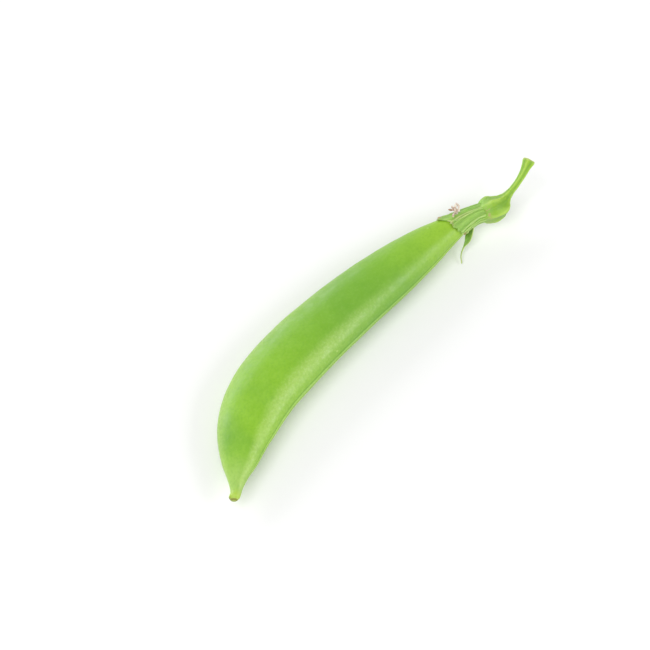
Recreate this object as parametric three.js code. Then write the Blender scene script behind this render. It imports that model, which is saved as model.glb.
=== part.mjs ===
// Snow pea pod, picked with its calyx and a short stalk, lying on one broad side.
// Millimetres. +X runs from the beak to the stalk, +Y is the bowed back of the pod, +Z is up.
import * as THREE from "three";
import { LoftGeometry } from "three/addons/geometries/LoftGeometry.js";

// ---------------------------------------------------------------- driving dimensions

// The axis of the whole pod, from the beak through the neck and the calyx to the cut end of the stalk.
const AXIS_POINTS = [
  [-48.2, -7.6, 4.2],
  [-46.25, -6.25, 4.2],
  [-41.3, -3.1, 4.2],
  [-34.3, 0.6, 4.2],
  [-26.8, 2.8, 4.2],
  [-18.8, 3.3, 4.2],
  [-3.3, 2.2, 4.2],
  [12.7, -0.4, 4.2],
  [20.2, -1.85, 4.2],
  [27.3, -3.5, 4.25],
  [32.2, -5.3, 4.8],
  [36.6, -8.0, 5.3],
  [40.1, -8.4, 6.0],
  [44.05, -8.5, 7.3],
  [48.2, -7.85, 9.1],
];

// Pod size along the axis: distance from the beak, half width, half thickness.
const POD_PROFILE = [
  [0, 0.85, 0.8],
  [0.25, 1.05, 1.0],
  [0.6, 1.12, 1.08],
  [1.3, 1.06, 1.02],
  [2.3, 1.23, 1.15],
  [4.6, 2.0, 1.6],
  [8, 3.5, 2.3],
  [16, 5.8, 3.4],
  [24, 6.85, 4.2],
  [32, 7.15, 4.4],
  [40, 7.05, 4.4],
  [56, 6.15, 4.4],
  [64, 5.4, 4.15],
  [72, 4.2, 3.5],
  [77, 3.1, 2.8],
  [80, 2.35, 2.2],
  [83, 1.75, 1.7],
  [85.9, 1.4, 1.4],
];
const POD_END = 85.9; // the stipe, just clear of the calyx base
const POD_CROWDING = 1.35; // above 1 sets the sections closer together towards the beak
const SIDE_FULLNESS = 0.93; // exponents of the lens-shaped section: 1 is an ellipse, less is squarer
const FACE_FULLNESS = 0.9;
const BEAK_ROLL = THREE.MathUtils.degToRad(8); // the ventral edge lifts towards the beak
const SUTURE_HEIGHT = 0.35; // the seam that stands proud along the ventral edge
const SUTURE_SPREAD = THREE.MathUtils.degToRad(7);
const BACK_RIB_HEIGHT = 0.15; // the rib along the bowed back
const BACK_RIB_SPREAD = 0.05; // in 1 minus the cosine of the angle from the back
const FADE_FROM_BEAK = 6; // the seam and the rib grow out of the skin over this distance
const FADE_TO_STIPE = 8;

// The calyx base, the swollen knee between the pod and the stalk: distance along the axis, radius.
const BASE_RADII = [
  [86.2, 2.3],
  [86.9, 2.72],
  [87.7, 2.98],
  [88.5, 3.0],
  [89.1, 2.7],
  [90.1, 2.1],
  [91.1, 1.52],
  [92.1, 1.08],
  [93.0, 0.84],
];
const BASE_LOBES = 5; // one low swelling for each sepal
const BASE_LOBE_HEIGHT = 0.2;

// The stalk: distance along the axis, radius.
const STALK_RADII = [
  [93.3, 0.8],
  [94.8, 0.7],
  [96.2, 0.7],
  [97.6, 0.75],
  [98.8, 0.84],
  [99.7, 0.97],
  [100.3, 1.14],
  [101.4, 1.26],
];

// Sepals that hug the neck. Angles run round the axis from the bowed back (0) over the top (90).
const SEPAL_BASE = 85.9; // just clear of the calyx base
const SEPAL_THICKNESS = 0.45;
const SEPAL_GAP = 0.32; // between a sepal and the pod's skin
const SEPAL_TUBE_RADIUS = 1.7; // least inside radius, where the pod thins to its stipe
const HUGGING_SEPALS = [
  { name: "sepal_back", middle: 45, halfSpan: 38, tip: 77.1, bluntness: 0.1 },
  { name: "sepal_top", middle: 126, halfSpan: 35, tip: 78.4, bluntness: 0.7 },
  { name: "sepal_front", middle: 187, halfSpan: 18, tip: 80.5, bluntness: 0.3 },
  { name: "sepal_under", middle: 297, halfSpan: 46, tip: 79.5, bluntness: 0.15 },
];

// The sepal that has come away and hangs down beside the neck.
const HANGING_PATH = [
  [30.4, -7.0, 2.6],
  [28.4, -7.45, 2.0],
  [26.6, -7.6, 1.3],
  [25.1, -8.0, 0.85],
  [24.2, -8.6, 0.5],
];
const HANGING_WIDTHS = [
  [0, 1.0],
  [0.35, 1.5],
  [0.65, 0.8],
  [1, 0.4],
];
const HANGING_THICKNESS = 0.4;
const HANGING_CUP = 0.06; // how far the middle of the blade lies above its edges

// The dried wisp of stamens left between two sepals.
const WISP_PATH = [
  [30.1, -3.0, 7.7],
  [29.8, -2.6, 8.2],
  [30.2, -2.1, 8.7],
];
const WISP_RADII = [
  [0, 0.32],
  [0.5, 0.4],
  [1, 0.15],
];

const POD_STEPS = 58;
const NARROW_STEPS = 14;
const SEPAL_STEPS = 10;
const SEPAL_COLUMNS = 6;
const WISP_STEPS = 5;
const BASE_SIDES = 20;
const STALK_SIDES = 14;
const WISP_SIDES = 7;

// ---------------------------------------------------------------- finishes

function finish(color, roughness) {
  return new THREE.MeshStandardMaterial({ color, roughness, metalness: 0 });
}

const podSkin = finish(0x8cc341, 0.42);
const calyxGreen = finish(0x97c45e, 0.6);
const baseGreen = finish(0x9cc643, 0.5);
const stalkGreen = finish(0xaacd51, 0.5);
const driedWisp = finish(0xd9c3a4, 0.85);

// ---------------------------------------------------------------- curves and sections

function curveThrough(points) {
  const curve = new THREE.CatmullRomCurve3(points.map((p) => new THREE.Vector3(...p)));
  curve.arcLengthDivisions = 600;
  return curve;
}

// Smooth values between the rows of a profile whose first column is the distance.
function along(profile, distance) {
  const last = profile.length - 1;
  let i = profile.findIndex((row, k) => k < last && distance <= profile[k + 1][0]);
  if (i < 0) i = last - 1;
  const [a, b] = [profile[i], profile[i + 1]];
  const before = profile[Math.max(i - 1, 0)];
  const after = profile[Math.min(i + 2, last)];
  const width = b[0] - a[0];
  const t = THREE.MathUtils.clamp((distance - a[0]) / width, 0, 1);
  return a.slice(1).map((value, k) => {
    const startSlope = ((b[k + 1] - before[k + 1]) / (b[0] - before[0])) * width;
    const endSlope = ((after[k + 1] - value) / (after[0] - a[0])) * width;
    const rise = b[k + 1] - value;
    const square = 3 * rise - 2 * startSlope - endSlope;
    const cube = startSlope + endSlope - 2 * rise;
    return value + startSlope * t + square * t * t + cube * t * t * t;
  });
}

// A station on a curve: its centre, with one direction to the left of travel and one upwards.
function stationOn(curve, share) {
  const centre = curve.getPointAt(share);
  const travel = curve.getTangentAt(share);
  const left = new THREE.Vector3(0, 0, 1).cross(travel).normalize();
  const up = travel.clone().cross(left);
  return { centre, left, up };
}

function place({ centre, left, up }, across, high) {
  return centre.clone().addScaledVector(left, across).addScaledVector(up, high);
}

function bump(angle, spread) {
  return Math.exp(-((angle / spread) ** 2));
}

const axis = curveThrough(AXIS_POINTS);
const axisLength = axis.getLength();

function axisStation(distance) {
  return stationOn(axis, distance / axisLength);
}

// ---------------------------------------------------------------- the pod

// One half of the section's angles, closer together at the ventral seam.
const HALF_SECTION_ANGLES = [0, 14, 30, 45, 60, 75, 90, 105, 120, 135, 148, 160, 169, 175, 180];

function sectionAngles() {
  const lowerHalf = HALF_SECTION_ANGLES.slice(1, -1).reverse().map((angle) => 360 - angle);
  return [...HALF_SECTION_ANGLES, ...lowerHalf].map(THREE.MathUtils.degToRad);
}

// A point of the pod's skin, or of a sleeve that stands clear of it by the given distance.
function podPoint(distance, angle, clear = 0, leastRadius = 0) {
  const [width, thickness] = along(POD_PROFILE, distance);
  const halfWidth = Math.max(width + clear, leastRadius);
  const halfThickness = Math.max(thickness + clear, leastRadius);
  const cos = Math.cos(angle);
  const sin = Math.sin(angle);
  const fadeIn = Math.min(distance / FADE_FROM_BEAK, 1);
  const fade = fadeIn * Math.min((POD_END - distance) / FADE_TO_STIPE, 1);
  const seam = clear > 0 ? 0 : SUTURE_HEIGHT * bump(Math.abs(angle) - Math.PI, SUTURE_SPREAD) * fade;
  const rib = clear > 0 ? 0 : BACK_RIB_HEIGHT * bump(1 - cos, BACK_RIB_SPREAD) * fade;
  const across = Math.sign(cos) * Math.abs(cos) ** SIDE_FULLNESS * halfWidth + rib - seam;
  const high = Math.sign(sin) * Math.abs(sin) ** FACE_FULLNESS * halfThickness;
  const roll = BEAK_ROLL * (1 - distance / POD_END);
  return place(
    axisStation(distance),
    across * Math.cos(roll) + high * Math.sin(roll),
    high * Math.cos(roll) - across * Math.sin(roll),
  );
}

function podGeometry() {
  const angles = sectionAngles();
  const sections = [];
  for (let i = 0; i <= POD_STEPS; i++) {
    const distance = POD_END * (i / POD_STEPS) ** POD_CROWDING;
    sections.push(
      angles.map((angle) => {
        const point = podPoint(distance, angle);
        point.z = Math.max(point.z, 0); // the belly is pressed flat where it lies on the surface
        return point;
      }),
    );
  }
  return new LoftGeometry(sections, { capStart: true, capEnd: true });
}

// ---------------------------------------------------------------- the calyx

function roundSection(station, radius, sides, lobes = 0, lobeHeight = 0) {
  return Array.from({ length: sides }, (_, k) => {
    const angle = (k / sides) * 2 * Math.PI;
    const r = radius + lobeHeight * Math.cos(lobes * angle);
    return place(station, r * Math.cos(angle), r * Math.sin(angle));
  });
}

function calyxBaseGeometry() {
  const start = BASE_RADII[0][0];
  const length = BASE_RADII.at(-1)[0] - start;
  const sections = [];
  for (let i = 0; i <= NARROW_STEPS; i++) {
    const share = i / NARROW_STEPS;
    const distance = start + length * share;
    const [radius] = along(BASE_RADII, distance);
    const lobeHeight = BASE_LOBE_HEIGHT * Math.sin(Math.PI * share);
    sections.push(roundSection(axisStation(distance), radius, BASE_SIDES, BASE_LOBES, lobeHeight));
  }
  return new LoftGeometry(sections, { capStart: true, capEnd: true });
}

// A curved blade round the neck, widest near its base and narrowing to its tip.
function huggingSepalGeometry({ middle, halfSpan, tip, bluntness }) {
  const sections = [];
  for (let i = 0; i <= SEPAL_STEPS; i++) {
    const share = i / SEPAL_STEPS;
    const distance = SEPAL_BASE + (tip - SEPAL_BASE) * share;
    const narrowing = bluntness + (1 - bluntness) * Math.sqrt(1 - share ** 2);
    const span = THREE.MathUtils.degToRad(halfSpan) * narrowing;
    const blade = (clear) =>
      Array.from({ length: SEPAL_COLUMNS + 1 }, (_, k) => {
        const angle = THREE.MathUtils.degToRad(middle) + span * ((2 * k) / SEPAL_COLUMNS - 1);
        const least = SEPAL_TUBE_RADIUS + clear - SEPAL_GAP;
        return podPoint(distance, angle, clear, least);
      });
    const inside = blade(SEPAL_GAP);
    const outside = blade(SEPAL_GAP + SEPAL_THICKNESS);
    sections.push([...inside, ...outside.reverse()]);
  }
  return new LoftGeometry(sections, { capStart: true, capEnd: true });
}

function hangingSepalGeometry() {
  const path = curveThrough(HANGING_PATH);
  const sections = [];
  for (let i = 0; i <= NARROW_STEPS; i++) {
    const share = i / NARROW_STEPS;
    const [width] = along(HANGING_WIDTHS, share);
    const station = stationOn(path, share);
    const halfWidth = width / 2;
    const halfThickness = HANGING_THICKNESS / 2;
    sections.push([
      place(station, halfWidth, -halfThickness),
      place(station, halfWidth, halfThickness),
      place(station, 0, halfThickness + HANGING_CUP),
      place(station, -halfWidth, halfThickness),
      place(station, -halfWidth, -halfThickness),
      place(station, 0, HANGING_CUP - halfThickness),
    ]);
  }
  return new LoftGeometry(sections, { capStart: true, capEnd: true });
}

// ---------------------------------------------------------------- the stalk and the wisp

function stalkGeometry() {
  const [start, end] = [STALK_RADII[0][0], STALK_RADII.at(-1)[0]];
  const sections = [];
  for (let i = 0; i <= NARROW_STEPS; i++) {
    const distance = start + ((end - start) * i) / NARROW_STEPS;
    const [radius] = along(STALK_RADII, distance);
    sections.push(roundSection(axisStation(distance), radius, STALK_SIDES));
  }
  return new LoftGeometry(sections, { capStart: true, capEnd: true });
}

function wispGeometry() {
  const path = curveThrough(WISP_PATH);
  const sections = [];
  for (let i = 0; i <= WISP_STEPS; i++) {
    const share = i / WISP_STEPS;
    const [radius] = along(WISP_RADII, share);
    sections.push(roundSection(stationOn(path, share), radius, WISP_SIDES));
  }
  return new LoftGeometry(sections, { capStart: true, capEnd: true });
}

// ---------------------------------------------------------------- assembly

function named(name, geometry, material) {
  const mesh = new THREE.Mesh(geometry, material);
  mesh.name = name;
  return mesh;
}

const plant = new THREE.Group();
plant.add(named("pod", podGeometry(), podSkin));
plant.add(named("calyx_base", calyxBaseGeometry(), baseGreen));
for (const sepal of HUGGING_SEPALS) {
  plant.add(named(sepal.name, huggingSepalGeometry(sepal), calyxGreen));
}
plant.add(named("sepal_hanging", hangingSepalGeometry(), calyxGreen));
plant.add(named("stalk", stalkGeometry(), stalkGreen));
plant.add(named("stamen_wisp", wispGeometry(), driedWisp));

// The origin is the middle of the underside of the box round the whole pod.
const box = new THREE.Box3().setFromObject(plant, true);
const middle = box.getCenter(new THREE.Vector3());
plant.position.set(-middle.x, -middle.y, -box.min.z);

const part = new THREE.Group();
part.add(plant);

export default part;
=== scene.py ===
"""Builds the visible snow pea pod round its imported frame: pod, calyx, stalk and a plain stage."""
import math

import bmesh
import bpy
from mathutils import Matrix, Vector


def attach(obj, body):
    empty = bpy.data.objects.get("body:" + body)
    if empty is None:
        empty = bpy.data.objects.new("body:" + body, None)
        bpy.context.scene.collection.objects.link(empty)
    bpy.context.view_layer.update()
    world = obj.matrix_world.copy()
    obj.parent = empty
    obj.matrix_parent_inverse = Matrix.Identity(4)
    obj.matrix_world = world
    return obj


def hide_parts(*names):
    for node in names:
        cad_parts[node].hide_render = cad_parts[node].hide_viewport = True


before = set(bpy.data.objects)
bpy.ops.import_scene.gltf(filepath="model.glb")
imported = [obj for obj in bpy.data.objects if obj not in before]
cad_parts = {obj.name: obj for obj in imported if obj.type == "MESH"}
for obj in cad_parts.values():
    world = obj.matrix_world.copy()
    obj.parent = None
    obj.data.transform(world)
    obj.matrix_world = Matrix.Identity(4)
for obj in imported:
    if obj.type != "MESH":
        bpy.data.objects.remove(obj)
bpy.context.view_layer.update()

bl_info = {
    "name": "Snow Pea Pod",
    "version": (1, 0, 0),
    "blender": (4, 5, 0),
    "location": "3D View > Sidebar > Pea Pod",
    "description": "Adds a picked snow pea pod with its calyx and stalk, and a plain stage",
    "category": "Add Mesh",
}

# Pieces are modelled in millimetres, straight along X, then bent along the pod's own axis and
# scaled to metres. X is the distance from the beak, Y faces the bowed back and Z faces up.
MM = 0.001

# The axis of the whole pod, from the beak to the cut end of the stalk.
AXIS_POINTS = [
    (-48.2, -7.6, 4.2),
    (-46.25, -6.25, 4.2),
    (-41.3, -3.1, 4.2),
    (-34.3, 0.6, 4.2),
    (-26.8, 2.8, 4.2),
    (-18.8, 3.3, 4.2),
    (-3.3, 2.2, 4.2),
    (12.7, -0.4, 4.2),
    (20.2, -1.85, 4.2),
    (27.3, -3.5, 4.25),
    (32.2, -5.3, 4.8),
    (36.6, -8.0, 5.3),
    (40.1, -8.4, 6.0),
    (44.05, -8.5, 7.3),
    (47.6, -8.0, 8.8),
]

# The pod's shape along its axis: distance, then half width and half thickness where 1 is the fullest.
POD_SHAPE = [
    (0.0, 0.14, 0.215),
    (0.5, 0.157, 0.245),
    (1.3, 0.148, 0.232),
    (2.3, 0.172, 0.262),
    (4.6, 0.28, 0.364),
    (8.0, 0.49, 0.523),
    (16.0, 0.81, 0.773),
    (24.0, 0.958, 0.955),
    (32.0, 1.0, 1.0),
    (40.0, 0.986, 1.0),
    (56.0, 0.86, 1.0),
    (64.0, 0.755, 0.943),
    (72.0, 0.587, 0.795),
    (77.0, 0.434, 0.636),
    (80.0, 0.329, 0.5),
    (83.0, 0.245, 0.386),
    (87.0, 0.18, 0.3),
]
POD_START = 0.45
POD_END = 87.0
POD_RINGS = 66
RING_CROWDING = 1.3  # above 1 sets the rings closer together towards the beak
BEAK_ROLL = math.radians(8)  # the seam side lifts towards the beak
SIDE_FULLNESS = 0.93  # exponents of the lens-shaped section: 1 is an ellipse, less is squarer
FACE_FULLNESS = 0.9

# Half of the section, in degrees from the bowed back to the seam, and how far the skin stands
# proud there, as a share of the half width: one rib on the back, two lips and a groove at the seam.
SECTION = [
    (0, 0.017), (3, 0.01), (7, 0.0), (16, 0.0), (28, 0.0), (41, 0.0), (54, 0.0), (67, 0.0),
    (79, 0.0), (90, 0.0), (101, 0.0), (113, 0.0), (126, 0.0), (139, 0.0), (151, 0.0),
    (161, 0.0), (169, -0.002), (173.4, 0.002), (175.8, 0.03), (177.4, 0.043), (178.8, 0.026),
    (180, 0.012),
]

FIRST_SEED = 14.0  # distance from the beak
SEED_PITCH = 8.6

# The knob at the end of the beak, from its tip to its rim: distance and radius.
BEAK_KNOB = [(-0.34, 0.16), (-0.33, 0.36), (-0.25, 0.56), (-0.1, 0.74), (0.08, 0.84), (0.22, 0.98)]
KNOB_FLATNESS = 0.9
KNOB_LEAN = 0.3  # how far the knob leans towards the bowed back
LEAN_REACH = 1.6  # distance over which the lean fades out

# The calyx base, a ribbed bell that the sepals grow from: distance and radius.
BASE_SHAPE = [
    (85.6, 1.5),
    (85.9, 1.85),
    (86.3, 2.25),
    (86.9, 2.5),
    (87.7, 2.66),
    (88.5, 2.68),
    (89.1, 2.5),
    (90.1, 2.02),
    (91.1, 1.52),
    (92.1, 1.08),
    (93.0, 0.84),
    (93.8, 0.74),
]
BASE_SIDES = 40
BASE_RIB_HEIGHT = 0.34
LOBE_REACH = 0.4  # how far the lobes of the lip reach over the sepals, one on each rib
LUMP_HEIGHT = 0.12
BASE_SAG = 0.5  # shift towards the stalk for each millimetre out on the side of the seam

# The middle and spread of each along the base, where 0 is the lip and 1 is the stalk, for bell().
BASE_RIBS_BELL = (0.5, 0.6)
LOBES_BELL = (0.0, 0.25)
LUMPS_BELL = (0.2, 0.2)
SAG_BELL = (0.42, 0.45)

# The ribs run on from the base along the stalk.
RIBS = 5
RIB_TURN = math.radians(56)

# The stalk, from inside the base to the middle of its hollowed cut end: distance and radius.
STALK_SHAPE = [
    (91.6, 0.8),
    (92.6, 0.82),
    (93.6, 0.76),
    (94.8, 0.7),
    (96.2, 0.7),
    (97.6, 0.75),
    (98.8, 0.84),
    (99.7, 0.97),
    (100.3, 1.16),
    (100.75, 1.3),
    (101.1, 1.27),
    (101.26, 1.12),
    (101.2, 0.95),
    (101.08, 0.8),
    (101.12, 0.45),
]
STALK_SIDES = 30
STALK_RIB_HEIGHT = 0.22

# Sepals that hug the neck. Angles are in degrees round the neck: 0 is the bowed back, 90 the top
# and 180 the seam. slant is how much further towards the beak the front edge reaches at the side
# edge of the smaller angle than in the middle.
SEPAL_ROOT = 87.9
LEAST_NECK_RADIUS = 1.55
SEPAL_ROWS = 34
SEPAL_COLUMNS = 44
PLEAT_HEIGHT = 0.34
PLEAT_SHARPNESS = 1.6
SIDE_EDGE = (0.15, 0.09)  # height and width of the thick edge, the width as a share of the span
FRONT_CURL = (0.22, 0.1)  # height and length, the length as a share of the sepal's
COARSE_TEARS = 0.16
FINE_TEARS = 0.1
CORNER_ROUNDING = 0.9
SEPALS = [
    # name, middle, half span, tip distance, slant, tip width, clearance, pleats
    ("sepal_under", 297, 50, 79.2, 0.0, 0.15, 0.08, 2),
    ("sepal_front", 186, 30, 80.2, 0.4, 0.3, 0.12, 1),
    ("sepal_back", 50, 50, 76.9, 0.0, 0.12, 0.08, 2),
    ("sepal_top", 128, 41, 78.7, 0.7, 0.8, 0.26, 2),
]

# The sepal that came loose and hangs almost to the ground, and its half width and twist along it.
LOOSE_PATH = [
    (30.9, -6.1, 3.3),
    (30.1, -6.5, 2.7),
    (28.4, -7.0, 2.2),
    (26.6, -7.2, 1.5),
    (25.1, -7.7, 0.95),
    (24.2, -8.5, 0.5),
]
LOOSE_SHAPE = [
    # distance, half width, twist in degrees
    (0.0, 0.8, 50),
    (1.4, 0.95, 40),
    (2.8, 0.7, 15),
    (4.0, 0.32, -5),
    (4.8, 0.14, 10),
    (8.2, 0.08, 30),
]
LOOSE_ROWS = 36
LOOSE_COLUMNS = 12
LOOSE_THINNESS = 0.8  # of the thickness of the other sepals
LOOSE_CUP = 0.25
LOOSE_WAVE = 0.08

# Dried filaments left from the flower, each from its root to its end.
FILAMENTS = [
    [(29.9, -3.0, 6.8), (29.7, -2.8, 7.4), (30.0, -2.4, 7.9), (30.7, -2.0, 8.4)],
    [(30.1, -3.1, 6.8), (30.0, -2.6, 7.4), (29.7, -2.1, 7.7), (29.6, -1.7, 8.3)],
    [(29.7, -3.2, 6.8), (29.3, -3.0, 7.3), (29.1, -3.2, 7.6), (29.3, -2.9, 8.0)],
    [(30.3, -3.2, 6.7), (30.4, -3.0, 7.2), (30.9, -2.6, 7.5), (30.9, -2.2, 7.8)],
    [(29.6, -3.1, 6.8), (29.0, -2.8, 7.1), (28.7, -2.9, 7.2), (28.4, -3.1, 7.4)],
    [(30.0, -2.9, 6.9), (29.6, -2.2, 7.2), (29.3, -1.8, 7.2), (28.9, -1.6, 7.6)],
]
FILAMENT_SHAPE = [(0.0, 0.3), (0.5, 0.26), (1.0, 0.2), (1.5, 0.28), (1.9, 0.22), (2.2, 0.08)]
FILAMENT_SIDES = 8
FILAMENT_FLATNESS = 0.7

# How uneven each piece grew, for roughen(): size and height of the swellings.
POD_GROWTH = (7.0, 0.12)
BASE_GROWTH = (1.1, 0.22)
SEPAL_GROWTH = (0.8, 0.12)
STALK_GROWTH = (0.9, 0.1)
WISP_GROWTH = (0.25, 0.12)

FLOOR_SIZE = 6  # metres
CAMERA_AIM = Vector((-0.0043, 0.0044, 0))

# Softboxes: name, place, width and height in metres, and power in watts.
LIGHTS = [
    ("key_softbox", (-0.5, -0.05, 0.8), 0.7, 0.7, 4.8),
    ("back_softbox", (0.12, 0.85, 0.3), 0.9, 0.5, 5.0),
    ("seam_softbox", (0.3, -0.72, 0.5), 0.6, 0.42, 3.4),
]


# ---------------------------------------------------------------- modelling helpers


def smooth_between(profile, distance):
    """Smooth values between the rows of a profile whose first column is the distance."""
    last = len(profile) - 1
    i = next((k for k in range(last) if distance <= profile[k + 1][0]), last - 1)
    a, b = profile[i], profile[i + 1]
    before, after = profile[max(i - 1, 0)], profile[min(i + 2, last)]
    width = b[0] - a[0]
    t = min(max((distance - a[0]) / width, 0), 1)
    values = []
    for k in range(1, len(a)):
        start_slope = (b[k] - before[k]) / (b[0] - before[0]) * width
        end_slope = (after[k] - a[k]) / (after[0] - a[0]) * width
        rise = b[k] - a[k]
        square = 3 * rise - 2 * start_slope - end_slope
        cube = start_slope + end_slope - 2 * rise
        values.append(a[k] + start_slope * t + square * t * t + cube * t**3)
    return values


def bump(value, middle, spread):
    """1 at the middle and about a third at the spread on either side, fading out for ever."""
    return math.exp(-(((value - middle) / spread) ** 2))


def bell(value, middle, spread):
    """1 at the middle and 0 beyond the spread on either side, smooth between."""
    share = min(abs(value - middle) / spread, 1)
    return 1 - share * share * (3 - 2 * share)


def only_choose(*pieces):
    """Selects some pieces and nothing else, with the first one active."""
    bpy.ops.object.select_all(action="DESELECT")
    for piece in pieces:
        piece.select_set(True)
    bpy.context.view_layer.objects.active = pieces[0]


def choose(test):
    """Selects the vertices of the mesh in edit mode that pass a test of their place."""
    mesh = bmesh.from_edit_mesh(bpy.context.object.data)
    bpy.ops.mesh.select_mode(type="VERT")
    bpy.ops.mesh.select_all(action="DESELECT")
    for vert in mesh.verts:
        vert.select = test(vert.co)
    mesh.select_flush(True)
    bmesh.update_edit_mesh(bpy.context.object.data)


def close_hole():
    """Closes the chosen ring of edges with a small ring inside it and one point in the middle."""
    bpy.ops.mesh.extrude_region_move()
    bpy.ops.transform.resize(value=(1, 0.5, 0.5))
    bpy.ops.mesh.extrude_region_move()
    bpy.ops.mesh.merge(type="CENTER")


def tube(name, rings, section):
    """A closed tube along X. rings are (distance, half width, half thickness) and section is a
    list of (across, high) points round a ring of half width and half thickness 1."""
    bpy.ops.object.select_all(action="DESELECT")
    bpy.ops.mesh.primitive_circle_add(vertices=len(section), radius=1)
    piece = bpy.context.object
    piece.name = name
    start = rings[0]
    for vert, (across, high) in zip(piece.data.vertices, section):
        vert.co = (start[0], across * start[1], high * start[2])
    bpy.ops.object.mode_set(mode="EDIT")
    bpy.ops.mesh.select_all(action="SELECT")
    for previous, ring in zip(rings, rings[1:]):
        bpy.ops.mesh.extrude_region_move(
            TRANSFORM_OT_translate={"value": (ring[0] - previous[0], 0, 0)}
        )
        bpy.ops.transform.resize(
            value=(1, ring[1] / previous[1], ring[2] / previous[2]),
            center_override=(ring[0], 0, 0),
        )
    for end in (rings[0][0], rings[-1][0]):
        choose(lambda co: abs(co.x - end) < 1e-4)
        close_hole()
    bpy.ops.mesh.select_all(action="SELECT")
    bpy.ops.mesh.normals_make_consistent(inside=False)
    bpy.ops.object.mode_set(mode="OBJECT")
    return piece


def blade(name, rows, columns, place, fold):
    """A thin sheet. place(along, across) gives each point, with along 0 to 1 and across -1 to 1,
    and fold(along, across) is 1 on its ridges and 0 in its valleys."""
    bpy.ops.object.select_all(action="DESELECT")
    bpy.ops.mesh.primitive_grid_add(x_subdivisions=rows, y_subdivisions=columns, size=2)
    piece = bpy.context.object
    piece.name = name
    grain = piece.data.attributes.new("grain", "FLOAT_VECTOR", "POINT")
    for vert, item in zip(piece.data.vertices, grain.data):
        along, across = (vert.co.x + 1) / 2, vert.co.y
        item.vector = (along, across, fold(along, across))
        vert.co = place(along, across)
    return piece


def reshape(piece, move):
    """Moves every point of a piece to where move(place) says."""
    for vert in piece.data.vertices:
        vert.co = move(vert.co)


def roughen(piece, size, height):
    """Uneven growth: soft random swellings of the surface."""
    texture = bpy.data.textures.new(piece.name + "_growth", "CLOUDS")
    texture.noise_scale = size
    texture.noise_depth = 2
    finish_with(piece, "DISPLACE", texture=texture, strength=height, mid_level=0.5)
    bpy.data.textures.remove(texture)


def turn_faces_out(piece):
    only_choose(piece)
    bpy.ops.object.mode_set(mode="EDIT")
    bpy.ops.mesh.select_all(action="SELECT")
    bpy.ops.mesh.normals_make_consistent(inside=False)
    bpy.ops.object.mode_set(mode="OBJECT")


def finish_with(piece, kind, **settings):
    """Adds a modifier, sets it up and applies it."""
    only_choose(piece)
    modifier = piece.modifiers.new(kind.title(), kind)
    for key, value in settings.items():
        setattr(modifier, key, value)
    bpy.ops.object.modifier_apply(modifier=modifier.name)


def subdivide_smoothly(piece, levels):
    finish_with(piece, "SUBSURF", levels=levels, render_levels=levels)


def keep_grain(piece, grain_at):
    """Stores where each point lies on the straight piece, which the finishes read to follow it."""
    grain = piece.data.attributes.new("grain", "FLOAT_VECTOR", "POINT")
    for vert, item in zip(piece.data.vertices, grain.data):
        item.vector = grain_at(vert.co)


def round_grain(radius):
    """The grain of a round piece, for keep_grain(): across it, 1 is about the radius."""
    return lambda co: (co.x, co.y / radius, co.z / radius)


def curve_through(name, points):
    """A smooth curve through points, for bending straight pieces along."""
    data = bpy.data.curves.new(name, "CURVE")
    data.dimensions = "3D"
    data.twist_mode = "Z_UP"
    data.resolution_u = 32
    spline = data.splines.new("BEZIER")
    spline.bezier_points.add(len(points) - 1)
    for bezier_point, place in zip(spline.bezier_points, points):
        bezier_point.co = place
        bezier_point.handle_left_type = "AUTO"
        bezier_point.handle_right_type = "AUTO"
    curve = bpy.data.objects.new(name, data)
    bpy.context.scene.collection.objects.link(curve)
    return curve


def bend_along(piece, points):
    """Bends a straight piece so that X runs along a curve through the points."""
    curve = curve_through("bending_line", points)
    bpy.context.view_layer.update()
    finish_with(piece, "CURVE", object=curve, deform_axis="POS_X")
    bpy.data.objects.remove(curve)


def to_metres(piece):
    only_choose(piece)
    piece.scale = (MM, MM, MM)
    bpy.ops.object.transform_apply(location=True, rotation=True, scale=True)


def hand_over(piece, material, slot, *nodes):
    """Gives a piece its finish and ties it to the frame in place of its CAD nodes."""
    to_metres(piece)
    bpy.ops.object.shade_smooth()
    piece.data.materials.clear()
    piece.data.materials.append(material)
    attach(piece, "root")
    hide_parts(*nodes)


# ---------------------------------------------------------------- the pod's shape


def section_point(degrees, proud=0.0):
    """A point of a lens-shaped section of half width and half thickness 1."""
    c, s = math.cos(math.radians(degrees)), math.sin(math.radians(degrees))
    across = math.copysign(abs(c) ** SIDE_FULLNESS + proud, c)
    return across, math.copysign(abs(s) ** FACE_FULLNESS, s)


def pod_section():
    """The section's points, all the way round from the bowed back over the top."""
    mirrored = [(360 - degrees, proud) for degrees, proud in reversed(SECTION[1:-1])]
    return [section_point(degrees, proud) for degrees, proud in SECTION + mirrored]


def pod_size(distance, sizes):
    width, thickness = smooth_between(POD_SHAPE, distance)
    return width * sizes.width / MM / 2, thickness * sizes.thickness / MM / 2


def seed_swell(distance, sizes):
    """What the seeds multiply the half thickness by."""
    first, last = FIRST_SEED, FIRST_SEED + SEED_PITCH * (sizes.seeds - 1)
    inside = min(max((distance - first + SEED_PITCH / 2) / SEED_PITCH, 0), 1)
    inside *= min(max((last + SEED_PITCH / 2 - distance) / SEED_PITCH, 0), 1)
    wave = math.cos(2 * math.pi * (distance - first) / SEED_PITCH)
    return 1 + sizes.seed_swell * inside * wave


# ---------------------------------------------------------------- the calyx and the stalk


def round_section(sides):
    """A round section of radius 1, for tube()."""
    turns = [2 * math.pi * i / sides for i in range(sides)]
    return [(math.cos(turn), math.sin(turn)) for turn in turns]


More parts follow.
